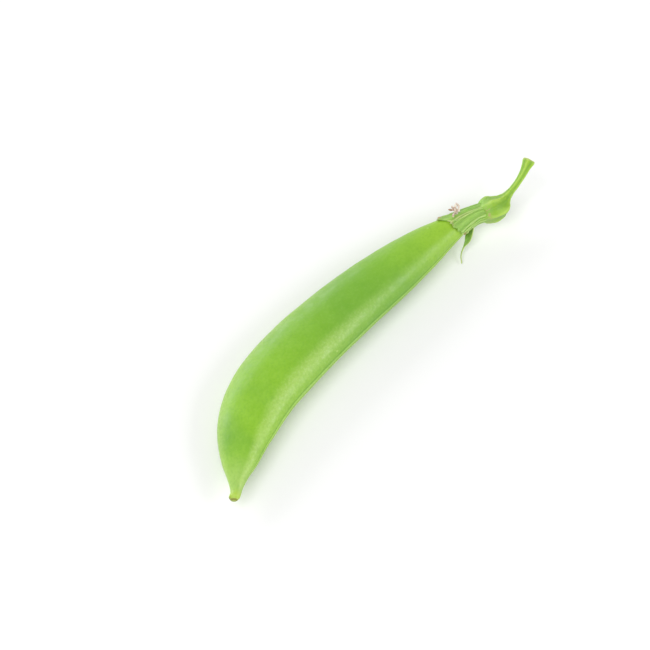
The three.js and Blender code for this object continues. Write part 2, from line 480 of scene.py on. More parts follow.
def ribbed(co, height):
    """Lifts a point of a round piece where one of its sharp ribs runs."""
    angle = math.atan2(co.z, co.y) + RIB_TURN
    ridge = 1 - abs(math.sin(RIBS * angle / 2))
    lift = 1 + height * (ridge * ridge - 0.25)
    return Vector((co.x, co.y * lift, co.z * lift))


def neck_point(distance, degrees, clear, sizes):
    """A point the given clearance over the neck of the pod, or over its stipe inside the base."""
    half_width, half_thickness = pod_size(min(distance, POD_END), sizes)
    across, high = section_point(degrees)
    across, high = across * half_width, high * half_thickness
    reach = math.hypot(across, high)
    wanted = max(reach, LEAST_NECK_RADIUS) + clear
    return Vector((distance, across * wanted / reach, high * wanted / reach))


def pleated(pleats, seed):
    """Uneven lengthwise ridges, a little askew towards the root, for blade()."""

    def fold(along, across):
        askew = 0.25 * (1 - along) + 0.05 * math.sin(4 * along)
        uneven = 0.14 * math.sin(3.3 * across + seed)
        fan = across + askew + uneven
        height = 0.72 + 0.28 * math.sin(4.1 * across + 2 * seed)
        return height * (0.5 + 0.5 * math.cos(2 * math.pi * pleats * fan)) ** PLEAT_SHARPNESS

    return fold


def sepal_place(middle, half_span, tip, slant, tip_width, clear, fold, sizes):
    """Where the points of a hugging sepal lie, for blade()."""
    shoulder = 0.55 + 0.45 * tip_width
    outline = [(0.0, 0.92), (0.35, 1.0), (0.75, 0.97), (0.93, shoulder), (1.0, tip_width)]

    def place(along, across):
        width = smooth_between(outline, along)[0]
        degrees = middle + half_span * width * across

        # The front edge is slanted, ragged and rounded off at its corners.
        ragged = COARSE_TEARS * math.sin(9 * across + middle)
        ragged += FINE_TEARS * math.sin(23 * across + middle)
        distance = SEPAL_ROOT + (tip - SEPAL_ROOT) * along
        distance += along**3 * (slant * across + ragged)
        distance += CORNER_ROUNDING * (1 - tip_width) * along**4 * across * across

        # Pleats and thick side edges grow out of a smooth root, and the front edge curls up in waves.
        shown = min(along * 5, 1) * (1 - 0.6 * along**4)
        side_edge = SIDE_EDGE[0] * bump(abs(across), 1, SIDE_EDGE[1])
        curl = FRONT_CURL[0] * bump(along, 1, FRONT_CURL[1])
        curl *= (1 + math.sin(5 * across + middle)) / 2
        lift = (PLEAT_HEIGHT * fold(along, across) + side_edge) * shown + curl
        return neck_point(distance, degrees, clear + lift, sizes)

    return place


def loose_place(along, across):
    """Where the points of the loose sepal lie before it is bent along its path."""
    distance = LOOSE_SHAPE[-1][0] * along
    half_width, twist = smooth_between(LOOSE_SHAPE, distance)
    cup = LOOSE_CUP * half_width * across * across
    side = half_width * across * (1 + LOOSE_WAVE * math.sin(14 * along + 2 * across))
    turned = Matrix.Rotation(math.radians(twist), 3, "X") @ Vector((0, side, cup))
    return Vector((distance, turned.y, turned.z))


# ---------------------------------------------------------------- finishes

# Where the skin changes along the pod, in millimetres from the beak. Values for ramp() are where
# it starts and ends, and values for stripe() are its middle and its spread.
# Painted shade: the darker middle of the pod.
MIDDLE_SHADE_STRIPE = (50.0, 32.0)
PALE_TIP_RAMP = (10.0, 3.0)
NECK_RAMP = (60.0, 84.0)
# The pale edge bands fade towards the neck, which paints shade on that part of the pod.
EDGE_FADE_RAMP = (62.0, 36.0)
BEAK_RAMP = (2.4, 0.2)
KNOB_RIM_STRIPE = (-0.2, 0.26)
KNOB_SCAR_STRIPE = (0.1, 0.4)

# The same across the pod, as a share of its half width, where 1 is the bowed back and -1 the seam.
# Paler skin and a painted sheen band along both edges.
PALE_AND_SHEEN_BACK_RAMP = (0.55, 1.0)
PALE_AND_SHEEN_SEAM_STRIPE = (-0.76, 0.34)
SEAM_SIDE_RAMP = (-0.6, -0.9)
SCAR_SIDE_RAMP = (0.35, 0.9)

# The same away from the seam's middle, as a share of the half thickness.
SEAM_LIPS_RAMP = (0.13, 0.07)
SEAM_GROOVE_RAMP = (0.04, 0.012)
LIP_FOOT_STRIPE = (0.15, 0.035)

# The same on the pleats of a sepal, where 1 is a ridge, and towards its edges.
# Painted shade in the valleys of the pleats.
VALLEY_SHADE_RAMP = (0.3, 0.0)
RIDGE_RAMP = (0.55, 0.95)
SEPAL_EDGE_RAMP = (0.88, 1.0)

# The same along the calyx base and the stalk, in millimetres from the beak.
BASE_DEEP_RAMP = (93.0, 89.0)
LIP_GREEN_RAMP = (88.4, 86.2)
LIP_SPOTS_STRIPE = (86.9, 1.1)
CUT_RAMP = (100.9, 101.2)
CUT_RIM_STRIPE = (101.0, 0.3)

# Scales of textures, per metre, and how far the flecks' outlines wander, in metres.
PORE_SCALE = 1900.0
VEIN_SCALE = 420.0
WOBBLE_SCALE = 900.0
WOBBLE = (0.0006, 0.0006, 0.0006)


def add_node(tree, kind, inputs=None, **settings):
    """Adds a node, sets it up, and sets or links its inputs."""
    made = tree.nodes.new(kind)
    for key, value in settings.items():
        setattr(made, key, value)
    for key, value in (inputs or {}).items():
        fill(tree, made.inputs[key], value)
    return made


def fill(tree, socket, value):
    """Links an input to another node's output, or sets it to a constant."""
    if isinstance(value, bpy.types.NodeSocket):
        tree.links.new(value, socket)
    else:
        socket.default_value = value


def calculate(tree, operation, *values):
    return add_node(tree, "ShaderNodeMath", dict(enumerate(values)), operation=operation).outputs[0]


def split(tree, vector):
    parts = add_node(tree, "ShaderNodeSeparateXYZ", {"Vector": vector}).outputs
    return parts["X"], parts["Y"], parts["Z"]


def ramp(tree, value, start, end):
    """0 before the start, 1 past the end and smooth between them. It also runs downwards, with
    an end that is less than the start."""
    made = add_node(
        tree,
        "ShaderNodeMapRange",
        {"Value": value, "From Min": start, "From Max": end},
        interpolation_type="SMOOTHSTEP",
    )
    return made.outputs["Result"]


def stripe(tree, value, middle, spread):
    """1 at the middle, falling to 0 at the spread on either side of it."""
    away = calculate(tree, "ABSOLUTE", calculate(tree, "SUBTRACT", value, middle))
    return ramp(tree, away, spread, 0.0)


def tint(tree, base, mask, colour, strength=1.0):
    """Lays a colour over the base where the mask is 1, as far as the strength says."""
    if strength != 1.0:
        mask = calculate(tree, "MULTIPLY", mask, strength)
    made = add_node(tree, "ShaderNodeMix", data_type="RGBA")
    for key, value in {"Factor": mask, "A": base, "B": colour}.items():
        fill(tree, next(s for s in made.inputs if s.name == key and s.enabled), value)
    return next(s for s in made.outputs if s.enabled)


def noise_value(tree, place, scale, detail, **inputs):
    """The value of a noise texture."""
    inputs = {"Vector": place, "Scale": scale, "Detail": detail, **inputs}
    return add_node(tree, "ShaderNodeTexNoise", inputs).outputs["Fac"]


def new_group(name, inputs, outputs):
    """A shader node group with named inputs, as (name, kind, default), and outputs."""
    group = bpy.data.node_groups.new(name, "ShaderNodeTree")
    for label, kind, default in inputs:
        socket = group.interface.new_socket(label, in_out="INPUT", socket_type=kind)
        if default is not None:
            socket.default_value = default
    for label in outputs:
        group.interface.new_socket(label, in_out="OUTPUT", socket_type="NodeSocketFloat")
    entry = group.nodes.new("NodeGroupInput")
    leave = group.nodes.new("NodeGroupOutput")
    return group, entry.outputs, leave.inputs


def mottle_group():
    """Broad and fine uneven patches, as plant skin has."""
    group, given, result = new_group(
        "plant_mottle",
        [("Place", "NodeSocketVector", None), ("Patch Scale", "NodeSocketFloat", 90.0)],
        ["Broad", "Fine"],
    )
    fine_scale = calculate(group, "MULTIPLY", given["Patch Scale"], 9.0)
    broad = noise_value(group, given["Place"], given["Patch Scale"], 3.0, Roughness=0.5)
    fine = noise_value(group, given["Place"], fine_scale, 4.0, Roughness=0.6)
    group.links.new(ramp(group, broad, 0.38, 0.66), result["Broad"])
    group.links.new(ramp(group, fine, 0.35, 0.7), result["Fine"])
    return group


def fibre_group():
    """Fine lines that run along a piece, from where its points lay when it was straight."""
    group, given, result = new_group(
        "plant_fibres",
        [
            ("Grain", "NodeSocketVector", None),
            ("Along", "NodeSocketFloat", 0.1),
            ("Across", "NodeSocketFloat", 6.0),
        ],
        ["Lines"],
    )
    along, across, high = split(group, given["Grain"])
    stretched = add_node(
        group,
        "ShaderNodeCombineXYZ",
        {
            "X": calculate(group, "MULTIPLY", along, given["Along"]),
            "Y": calculate(group, "MULTIPLY", across, given["Across"]),
            "Z": calculate(group, "MULTIPLY", high, given["Across"]),
        },
    )
    lines = noise_value(group, stretched.outputs["Vector"], 1.0, 3.0, Roughness=0.55)
    group.links.new(ramp(group, lines, 0.3, 0.7), result["Lines"])
    return group


def fleck_group():
    """Small scattered flecks and scuffs."""
    group, given, result = new_group(
        "plant_flecks",
        [
            ("Place", "NodeSocketVector", None),
            ("Spacing Scale", "NodeSocketFloat", 300.0),
            ("Size", "NodeSocketFloat", 0.1),
        ],
        ["Flecks"],
    )
    wobble = add_node(
        group,
        "ShaderNodeTexNoise",
        {"Vector": given["Place"], "Scale": WOBBLE_SCALE, "Detail": 2.0},
    )
    shifted = add_node(
        group,
        "ShaderNodeVectorMath",
        {0: wobble.outputs["Color"], 1: WOBBLE, 2: given["Place"]},
        operation="MULTIPLY_ADD",
    )
    cells = add_node(
        group,
        "ShaderNodeTexVoronoi",
        {"Vector": shifted.outputs[0], "Scale": given["Spacing Scale"], "Randomness": 1.0},
    )
    # One random number picks a few of the cells, and another sets how large each fleck is.
    chance = add_node(group, "ShaderNodeSeparateColor", {"Color": cells.outputs["Color"]})
    few = ramp(group, chance.outputs["Red"], 0.8, 0.84)
    size = calculate(group, "MULTIPLY", given["Size"], chance.outputs["Green"])
    inside = calculate(group, "SUBTRACT", size, cells.outputs["Distance"])
    dots = calculate(group, "MULTIPLY", ramp(group, inside, 0.0, 0.04), few)
    group.links.new(dots, result["Flecks"])
    return group


def place_group(tree, group, **inputs):
    made = tree.nodes.new("ShaderNodeGroup")
    made.node_tree = group
    for key, value in inputs.items():
        fill(tree, made.inputs[key.replace("_", " ").title()], value)
    return made.outputs


def new_material(name, subsurface, roughness=0.5, sheen=0.0):
    """A material with its shader. Returns it, its tree, its shader, object and grain coordinates."""
    material = bpy.data.materials.new(name)
    material.use_nodes = True
    tree = material.node_tree
    shader = tree.nodes["Principled BSDF"]
    shader.inputs["Roughness"].default_value = roughness
    shader.inputs["Subsurface Weight"].default_value = subsurface
    shader.inputs["Subsurface Radius"].default_value = (0.7, 1.0, 0.25)
    shader.inputs["Subsurface Scale"].default_value = 0.0015
    shader.inputs["Sheen Weight"].default_value = sheen
    shader.inputs["Specular IOR Level"].default_value = 0.45
    place = add_node(tree, "ShaderNodeTexCoord").outputs["Object"]
    grain = add_node(tree, "ShaderNodeAttribute", attribute_name="grain").outputs["Vector"]
    return material, tree, shader, place, grain


def raise_surface(tree, shader, height, distance, strength):
    """Fine relief too small to model, with its greatest height in metres."""
    relief = add_node(
        tree, "ShaderNodeBump", {"Height": height, "Distance": distance, "Strength": strength}
    )
    tree.links.new(relief.outputs["Normal"], shader.inputs["Normal"])


def pod_skin_material(name, looks):
    """Waxy green skin: paler towards both edges, partly as a painted sheen, a groove and lips at the
    seam with painted highlight and shade, painted shade over the middle, a dried beak.
    """
    material, tree, shader, place, grain = new_material(name, 0.12)
    shader.inputs["Coat Weight"].default_value = 0.12
    shader.inputs["Coat Roughness"].default_value = 0.45
    along, across, high = split(tree, grain)

    mottle = place_group(tree, looks["mottle"], place=place, patch_scale=48.0)
    base = tint(tree, looks["skin"], mottle["Broad"], looks["deep"], 0.85)
    base = tint(tree, base, mottle["Fine"], looks["bright"], 0.3)

    # Deeper green in the middle as painted shade, paler at the tip and both edges, and yellower at the
    # neck.
    base = tint(tree, base, stripe(tree, along, *MIDDLE_SHADE_STRIPE), looks["deep"], 0.65)
    base = tint(tree, base, ramp(tree, along, *PALE_TIP_RAMP), looks["pale"], 0.5)
    base = tint(tree, base, ramp(tree, along, *NECK_RAMP), looks["neck"], 0.75)
    # Painted sheen: the pale bands along the back and inside the seam are partly paler skin and partly
    # a painted highlight.
    seam_pale_and_sheen = stripe(tree, across, *PALE_AND_SHEEN_SEAM_STRIPE)
    edge = calculate(tree, "MAXIMUM", seam_pale_and_sheen, ramp(tree, across, *PALE_AND_SHEEN_BACK_RAMP))
    pale_and_sheen_strength = calculate(tree, "MULTIPLY_ADD", ramp(tree, along, *EDGE_FADE_RAMP), 0.34, 0.12)
    edge = calculate(tree, "MULTIPLY", edge, pale_and_sheen_strength)
    base = tint(tree, base, edge, looks["pale"])

    # The seam: pale lips on either side of a dark groove, and a dark line at the foot of each lip. The
    # lips' paleness is partly a painted highlight, and the darkness of the groove and the feet is
    # partly painted shade in the seam's creases.
    from_middle = calculate(tree, "ABSOLUTE", high)
    seam_side = ramp(tree, across, *SEAM_SIDE_RAMP)
    lip_pale_and_sheen = calculate(tree, "MULTIPLY", ramp(tree, from_middle, *SEAM_LIPS_RAMP), seam_side)
    groove = calculate(tree, "MULTIPLY", ramp(tree, from_middle, *SEAM_GROOVE_RAMP), seam_side)
    lip_foot_shade = calculate(tree, "MULTIPLY", stripe(tree, from_middle, *LIP_FOOT_STRIPE), seam_side)
    base = tint(tree, base, lip_pale_and_sheen, looks["pale"], 0.55)
    seam_line_and_shade = calculate(tree, "MAXIMUM", groove, calculate(tree, "MULTIPLY", lip_foot_shade, 0.8))
    base = tint(tree, base, seam_line_and_shade, looks["groove"], 0.7)

    # Pores and a thin bloom of wax, which shows most along the edges, where the bloom is partly a
    # painted speckled highlight.
    pores = noise_value(tree, place, PORE_SCALE, 3.0)
    base = tint(tree, base, ramp(tree, pores, 0.5, 0.68), looks["deep"], 0.22)
    bloom = calculate(tree, "MULTIPLY", ramp(tree, pores, 0.5, 0.32), calculate(tree, "ADD", edge, 0.1))
    base = tint(tree, base, bloom, looks["bloom"], 0.28)

    # Flecks, then the yellow-green beak with its dried brown rim and scar.
    flecks = place_group(tree, looks["flecks"], place=place)
    base = tint(tree, base, flecks["Flecks"], looks["fleck"], 0.45)
    base = tint(tree, base, ramp(tree, along, *BEAK_RAMP), looks["button"], 0.7)
    rim = calculate(tree, "MULTIPLY", stripe(tree, along, *KNOB_RIM_STRIPE), 0.8)
    scar_side = ramp(tree, across, *SCAR_SIDE_RAMP)
    scar = calculate(tree, "MULTIPLY", stripe(tree, along, *KNOB_SCAR_STRIPE), scar_side)
    base = tint(tree, base, calculate(tree, "MAXIMUM", rim, scar), looks["brown"], 0.9)
    tree.links.new(base, shader.inputs["Base Color"])

    # Satin wax, with a fine net of veins under it.
    veins = add_node(
        tree,
        "ShaderNodeTexVoronoi",
        {"Vector": place, "Scale": VEIN_SCALE, "Randomness": 0.9},
        feature="DISTANCE_TO_EDGE",
    )
    net = calculate(tree, "MULTIPLY", ramp(tree, veins.outputs["Distance"], 0.0, 0.3), 0.35)
    lines = place_group(tree, looks["fibres"], grain=grain, along=0.25, across=5.0)
    height = calculate(tree, "MULTIPLY_ADD", pores, 0.9, net)
    height = calculate(tree, "MULTIPLY_ADD", lines["Lines"], 0.8, height)
    raise_surface(tree, shader, height, 0.00004, 0.7)
    rough = calculate(tree, "MULTIPLY_ADD", mottle["Fine"], 0.2, 0.35)
    tree.links.new(rough, shader.inputs["Roughness"])
    return material


def leaf_material(name, looks, dry_from, dry_to):
    """Duller, pleated green with pale ridges and edges, and painted shade in the valleys. It dries to
    brown towards the tip.
    """
    material, tree, shader, place, grain = new_material(name, 0.1)
    along, across, fold = split(tree, grain)
    mottle = place_group(tree, looks["mottle"], place=place, patch_scale=260.0)
    lines = place_group(tree, looks["fibres"], grain=grain, along=0.6, across=7.0)
    base = tint(tree, looks["leaf"], mottle["Broad"], looks["leaf_deep"])
    # Painted shade: deeper green in the valleys between the pleats.
    base = tint(tree, base, ramp(tree, fold, *VALLEY_SHADE_RAMP), looks["leaf_deep"], 0.45)
    base = tint(tree, base, ramp(tree, fold, *RIDGE_RAMP), looks["leaf_vein"], 0.7)
    base = tint(tree, base, lines["Lines"], looks["leaf_vein"], 0.35)
    edge = ramp(tree, calculate(tree, "ABSOLUTE", across), *SEPAL_EDGE_RAMP)
    base = tint(tree, base, edge, looks["leaf_edge"], 0.7)
    wander = calculate(tree, "MULTIPLY_ADD", mottle["Fine"], 0.16, along)
    wander = calculate(tree, "MULTIPLY_ADD", across, -0.1, wander)
    base = tint(tree, base, ramp(tree, wander, dry_from, dry_to), looks["dry"], 0.9)
    tree.links.new(base, shader.inputs["Base Color"])
    height = calculate(tree, "MULTIPLY_ADD", mottle["Fine"], 0.5, lines["Lines"])
    raise_surface(tree, shader, height, 0.00008, 0.8)
    return material


def stalk_material(name, looks):
    """Ribbed yellow-green skin of the calyx base and the stalk, with a paler cut end."""
    material, tree, shader, place, grain = new_material(name, 0.12, 0.45)
    along, across, high = split(tree, grain)
    mottle = place_group(tree, looks["mottle"], place=place, patch_scale=300.0)
    lines = place_group(tree, looks["fibres"], grain=grain, along=0.15, across=4.0)
    patches = calculate(tree, "MULTIPLY", mottle["Broad"], 0.5)
    patches = calculate(tree, "MULTIPLY_ADD", ramp(tree, along, *BASE_DEEP_RAMP), 0.4, patches)
    base = tint(tree, looks["stalk"], patches, looks["stalk_deep"])

    # Pale ribs and deeper grooves, where ribbed() lifts the surface; the deeper grooves are painted
    # shade.
    angle = calculate(tree, "ADD", calculate(tree, "ARCTAN2", high, across), RIB_TURN)
    turned = calculate(tree, "MULTIPLY", angle, RIBS / 2)
    slope = calculate(tree, "ABSOLUTE", calculate(tree, "SINE", turned))
    ridge = calculate(tree, "SUBTRACT", 1.0, slope)
    ridge = calculate(tree, "MULTIPLY_ADD", lines["Lines"], -0.3, ridge)
    base = tint(tree, base, ramp(tree, ridge, 0.18, -0.2), looks["stalk_deep"])
    base = tint(tree, base, ramp(tree, ridge, 0.25, 0.8), looks["stalk_rib"], 0.7)

    # The base turns to sepal green at its lip, with dried spots on the side of the seam.
    base = tint(tree, base, ramp(tree, along, *LIP_GREEN_RAMP), looks["leaf"], 0.75)
    lip = stripe(tree, along, *LIP_SPOTS_STRIPE)
    lip = calculate(tree, "MULTIPLY", lip, ramp(tree, mottle["Fine"], 0.45, 0.8))
    spots = calculate(tree, "MULTIPLY", lip, ramp(tree, across, 0.35, -0.9))
    base = tint(tree, base, spots, looks["dry"], 0.8)

    # The cut end is pale and fibrous, with a dried rim.
    base = tint(tree, base, ramp(tree, along, *CUT_RAMP), looks["cut"], 0.7)
    rim = calculate(tree, "MULTIPLY", stripe(tree, along, *CUT_RIM_STRIPE), mottle["Fine"])
    base = tint(tree, base, rim, looks["dry"], 0.6)
    tree.links.new(base, shader.inputs["Base Color"])
    raise_surface(tree, shader, lines["Lines"], 0.00008, 0.8)
    return material


def wisp_material(name, looks):
    """Papery dried filaments, whitish with brown patches."""
    material, tree, shader, place, _ = new_material(name, 0.05, 0.8, sheen=0.2)
    mottle = place_group(tree, looks["mottle"], place=place, patch_scale=700.0)
    base = tint(tree, looks["wisp"], mottle["Broad"], looks["wisp_brown"])
    tree.links.new(base, shader.inputs["Base Color"])
    raise_surface(tree, shader, mottle["Fine"], 0.00004, 0.6)
    return material


def stage_material():
    """Plain near-white floor with the faintest unevenness."""
    material = bpy.data.materials.new("stage_white")
    material.use_nodes = True
    tree = material.node_tree
    shader = tree.nodes["Principled BSDF"]
    shader.inputs["Base Color"].default_value = (0.9, 0.9, 0.9, 1)
    shader.inputs["Specular IOR Level"].default_value = 0.2
    place = add_node(tree, "ShaderNodeTexCoord").outputs["Object"]
    rough = calculate(tree, "MULTIPLY_ADD", noise_value(tree, place, 40.0, 2.0), 0.1, 0.6)
    tree.links.new(rough, shader.inputs["Roughness"])
    return material


# ---------------------------------------------------------------- settings


def colour_setting(name, description, default):
    return bpy.props.FloatVectorProperty(
        name=name, description=description, default=default, min=0, max=1, subtype="COLOR"
    )


def length_setting(name, description, default):
    return bpy.props.FloatProperty(
        name=name, description=description, default=default, min=0, unit="LENGTH"
    )


class PeaPodSettings(bpy.types.PropertyGroup):
    """Sizes and colours of the pod's body."""

    width: length_setting("Width", "Widest measure from the bowed back to the seam", 0.0143)
    thickness: length_setting("Thickness", "Greatest measure through both faces", 0.0088)
    seeds: bpy.props.IntProperty(
        name="Seeds", description="Faint swellings along the faces", default=7, min=2
    )
    seed_swell: bpy.props.FloatProperty(
        name="Seed Swell", description="Swelling as a share of the thickness", default=0.012
    )
    skin: colour_setting("Skin", "Main colour of the skin", (0.235, 0.48, 0.016))
    # Deep Skin also paints the shade over the middle of the pod.
    deep: colour_setting("Deep Skin", "Deeper green patches", (0.135, 0.345, 0.026))
    bright: colour_setting("Bright Skin", "Fine brighter mottling", (0.285, 0.55, 0.025))
    # Wax Bloom also paints a speckled highlight along the edges.
    bloom: colour_setting("Wax Bloom", "Thin whitish wax", (0.6, 0.78, 0.36))
    # Pale Skin also paints the sheen bands along both edges and on the seam lips.
    pale: colour_setting("Pale Skin", "Skin towards the back and the seam", (0.47, 0.66, 0.17))
    neck: colour_setting("Neck", "Yellower skin towards the calyx", (0.37, 0.61, 0.03))
    # Seam Groove also paints shade in the seam's groove and at the foot of its lips.
    groove: colour_setting("Seam Groove", "Dark line in the seam", (0.085, 0.24, 0.02))
    fleck: colour_setting("Flecks", "Small pale flecks", (0.5, 0.68, 0.2))
    button: colour_setting("Beak", "Yellow-green tip of the beak", (0.43, 0.6, 0.05))
    brown: colour_setting("Beak Rim", "Dried rim of the beak", (0.16, 0.085, 0.02))


class PeaCalyxSettings(bpy.types.PropertyGroup):
    """Sizes and colours of the calyx, the stalk and the dried wisp."""

    blade: length_setting("Sepal Thickness", "Thickness of a sepal", 0.0003)
    leaf: colour_setting("Sepal", "Main colour of the sepals", (0.285, 0.54, 0.075))
    # Deep Sepal also paints the shade in the pleats' valleys.
    leaf_deep: colour_setting("Deep Sepal", "Deeper patches", (0.19, 0.42, 0.055))
    leaf_vein: colour_setting("Sepal Veins", "Raised veins", (0.46, 0.67, 0.2))
    leaf_edge: colour_setting("Sepal Edge", "Thin dry edge", (0.6, 0.69, 0.27))
    dry: colour_setting("Dry Tip", "Dried tips", (0.5, 0.36, 0.18))
    stalk: colour_setting("Stalk", "Main colour of the stalk", (0.31, 0.53, 0.03))
    # Deep Stalk also paints the shade in the grooves between the ribs.
    stalk_deep: colour_setting("Deep Stalk", "Deeper patches and grooves", (0.2, 0.4, 0.03))
    stalk_rib: colour_setting("Stalk Ribs", "Paler ribs", (0.45, 0.65, 0.1))
    cut: colour_setting("Cut End", "Pale cut end of the stalk", (0.6, 0.7, 0.28))
    wisp: colour_setting("Wisp", "Dried filaments", (0.82, 0.73, 0.62))
    wisp_brown: colour_setting("Wisp Ends", "Browner ends", (0.42, 0.24, 0.15))


class PeaStageSettings(bpy.types.PropertyGroup):
    """Where the camera stands and how bright the lights are."""

    azimuth: bpy.props.FloatProperty(
        name="Azimuth", description="Turn of the camera", default=math.radians(-52.5), unit="ROTATION"
    )
    elevation: bpy.props.FloatProperty(
        name="Elevation", description="Height of the camera", default=math.radians(58), unit="ROTATION"
    )
    distance: length_setting("Distance", "From the camera to what it looks at", 0.65)
    focal_length: bpy.props.FloatProperty(
        name="Focal Length", description="Lens of the camera", default=180, unit="CAMERA"
    )
    ambient: bpy.props.FloatProperty(
        name="Ambient", description="Strength of the even white surroundings", default=0.45
    )


def shared_looks():
    """Colours from the settings and the shared node groups, made once."""
    scene = bpy.context.scene
    looks = {}
    for settings in (scene.pea_pod, scene.pea_calyx):
        for key, setting in settings.bl_rna.properties.items():
            if setting.subtype == "COLOR":
                looks[key] = (*getattr(settings, key), 1.0)
    groups = bpy.data.node_groups
    looks["mottle"] = groups.get("plant_mottle") or mottle_group()
    looks["fibres"] = groups.get("plant_fibres") or fibre_group()
    looks["flecks"] = groups.get("plant_flecks") or fleck_group()
    return looks


def material_called(name, make, *values):
    """The material of that name, which is made first where there is none yet."""
    return bpy.data.materials.get(name) or make(name, shared_looks(), *values)


# ---------------------------------------------------------------- operators


class PEAPOD_OT_pod(bpy.types.Operator):
    """Add the pod, from the beak to the stipe that goes into the calyx"""

    bl_idname = "peapod.pod"
    bl_label = "Pod"

    def execute(self, context):
        sizes = context.scene.pea_pod
        rings = [(distance, radius, KNOB_FLATNESS * radius) for distance, radius in BEAK_KNOB]
        for i in range(POD_RINGS + 1):
            distance = POD_START + (POD_END - POD_START) * (i / POD_RINGS) ** RING_CROWDING
            half_width, half_thickness = pod_size(distance, sizes)
            rings.append((distance, half_width, half_thickness * seed_swell(distance, sizes)))
        piece = tube("pea_pod", rings, pod_section())
        subdivide_smoothly(piece, 2)

        def grain_at(co):
            half_width, half_thickness = pod_size(co.x, sizes)
            return (co.x, co.y / half_width, co.z / half_thickness)

        def leaning(co):
            roll = BEAK_ROLL * (1 - co.x / POD_END)
            lean = Vector((0, KNOB_LEAN * bell(co.x, 0, LEAN_REACH), 0))
            return Matrix.Rotation(-roll, 3, "X") @ (co + lean)

        keep_grain(piece, grain_at)
        reshape(piece, leaning)
        roughen(piece, *POD_GROWTH)
        bend_along(piece, AXIS_POINTS)

        # The belly lies flat on the ground.
        bpy.ops.object.mode_set(mode="EDIT")
        choose(lambda co: co.z < 0)
        bpy.ops.transform.resize(value=(1, 1, 0), center_override=(0, 0, 0))
        bpy.ops.object.mode_set(mode="OBJECT")
        skin = material_called("waxy_pod_skin", pod_skin_material)
        hand_over(piece, skin, "pod_skin", "pod")
        return {"FINISHED"}


class PEAPOD_OT_calyx_base(bpy.types.Operator):
    """Add the ribbed bell that the sepals and the stalk grow from"""

    bl_idname = "peapod.calyx_base"
    bl_label = "Calyx Base"

    def execute(self, context):
        rings = [(distance, radius, radius) for distance, radius in BASE_SHAPE]
        piece = tube("pea_calyx_base", rings, round_section(BASE_SIDES))
        start, end = BASE_SHAPE[0][0], BASE_SHAPE[-1][0]

        def swollen(co):
            share = (co.x - start) / (end - start)
            angle = math.atan2(co.z, co.y)
            lumps = LUMP_HEIGHT * bell(share, *LUMPS_BELL) * math.sin(3 * angle + 1)
            lobes = LOBE_REACH * bell(share, *LOBES_BELL) * math.cos(RIBS * (angle + RIB_TURN))
            sag = BASE_SAG * max(-co.y, 0) * bell(share, *SAG_BELL)
            grown = ribbed(co, BASE_RIB_HEIGHT * bell(share, *BASE_RIBS_BELL))
            distance = grown.x + sag - lobes - 0.6 * lumps
            return Vector((distance, grown.y * (1 + lumps), grown.z * (1 + lumps)))

        reshape(piece, swollen)
        subdivide_smoothly(piece, 2)
        roughen(piece, *BASE_GROWTH)
        keep_grain(piece, round_grain(2))
        bend_along(piece, AXIS_POINTS)
        skin = material_called("stalk_skin", stalk_material)
        hand_over(piece, skin, "stalk_green", "calyx_base")
        return {"FINISHED"}


class PEAPOD_OT_sepals(bpy.types.Operator):
    """Add the sepals that hug the neck of the pod"""

    bl_idname = "peapod.sepals"
    bl_label = "Sepals"

    def execute(self, context):
        sizes = context.scene.pea_pod
        dry_skin = material_called("dry_sepal_skin", leaf_material, 0.98, 1.12)
        fresh_skin = material_called("sepal_skin", leaf_material, 1.06, 1.3)
        for seed, (name, *shape, pleats) in enumerate(SEPALS):
            fold = pleated(pleats, seed)
            place = sepal_place(*shape, fold, sizes)
            piece = blade("pea_" + name, SEPAL_ROWS, SEPAL_COLUMNS, place, fold)
            thickness = context.scene.pea_calyx.blade / MM
            finish_with(piece, "SOLIDIFY", thickness=thickness, offset=0)
            subdivide_smoothly(piece, 1)
            roughen(piece, *SEPAL_GROWTH)
            bend_along(piece, AXIS_POINTS)
            turn_faces_out(piece)
            hand_over(piece, fresh_skin if name == "sepal_top" else dry_skin, "calyx_green", name)
        return {"FINISHED"}


class PEAPOD_OT_loose_sepal(bpy.types.Operator):
    """Add the twisted sepal that came loose and hangs from the calyx"""

    bl_idname = "peapod.loose_sepal"
    bl_label = "Loose Sepal"

    def execute(self, context):
        skin = material_called("loose_skin", leaf_material, 0.85, 1.3)
        fold = pleated(1, 0)
        piece = blade("pea_sepal_hanging", LOOSE_ROWS, LOOSE_COLUMNS, loose_place, fold)
        thickness = LOOSE_THINNESS * context.scene.pea_calyx.blade / MM
        finish_with(piece, "SOLIDIFY", thickness=thickness, offset=0)
        subdivide_smoothly(piece, 1)
        bend_along(piece, LOOSE_PATH)
        turn_faces_out(piece)
        hand_over(piece, skin, "calyx_green", "sepal_hanging")
        return {"FINISHED"}


class PEAPOD_OT_stalk(bpy.types.Operator):
    """Add the ribbed stalk with its flared, cut end"""

    bl_idname = "peapod.stalk"
    bl_label = "Stalk"

    def execute(self, context):
        rings = [(distance, radius, radius) for distance, radius in STALK_SHAPE]
        piece = tube("pea_stalk", rings, round_section(STALK_SIDES))
        reshape(piece, lambda co: ribbed(co, STALK_RIB_HEIGHT))
        subdivide_smoothly(piece, 2)
        roughen(piece, *STALK_GROWTH)
        keep_grain(piece, round_grain(1.2))
        bend_along(piece, AXIS_POINTS)
        skin = material_called("stalk_skin", stalk_material)
        hand_over(piece, skin, "stalk_green", "stalk")
        return {"FINISHED"}


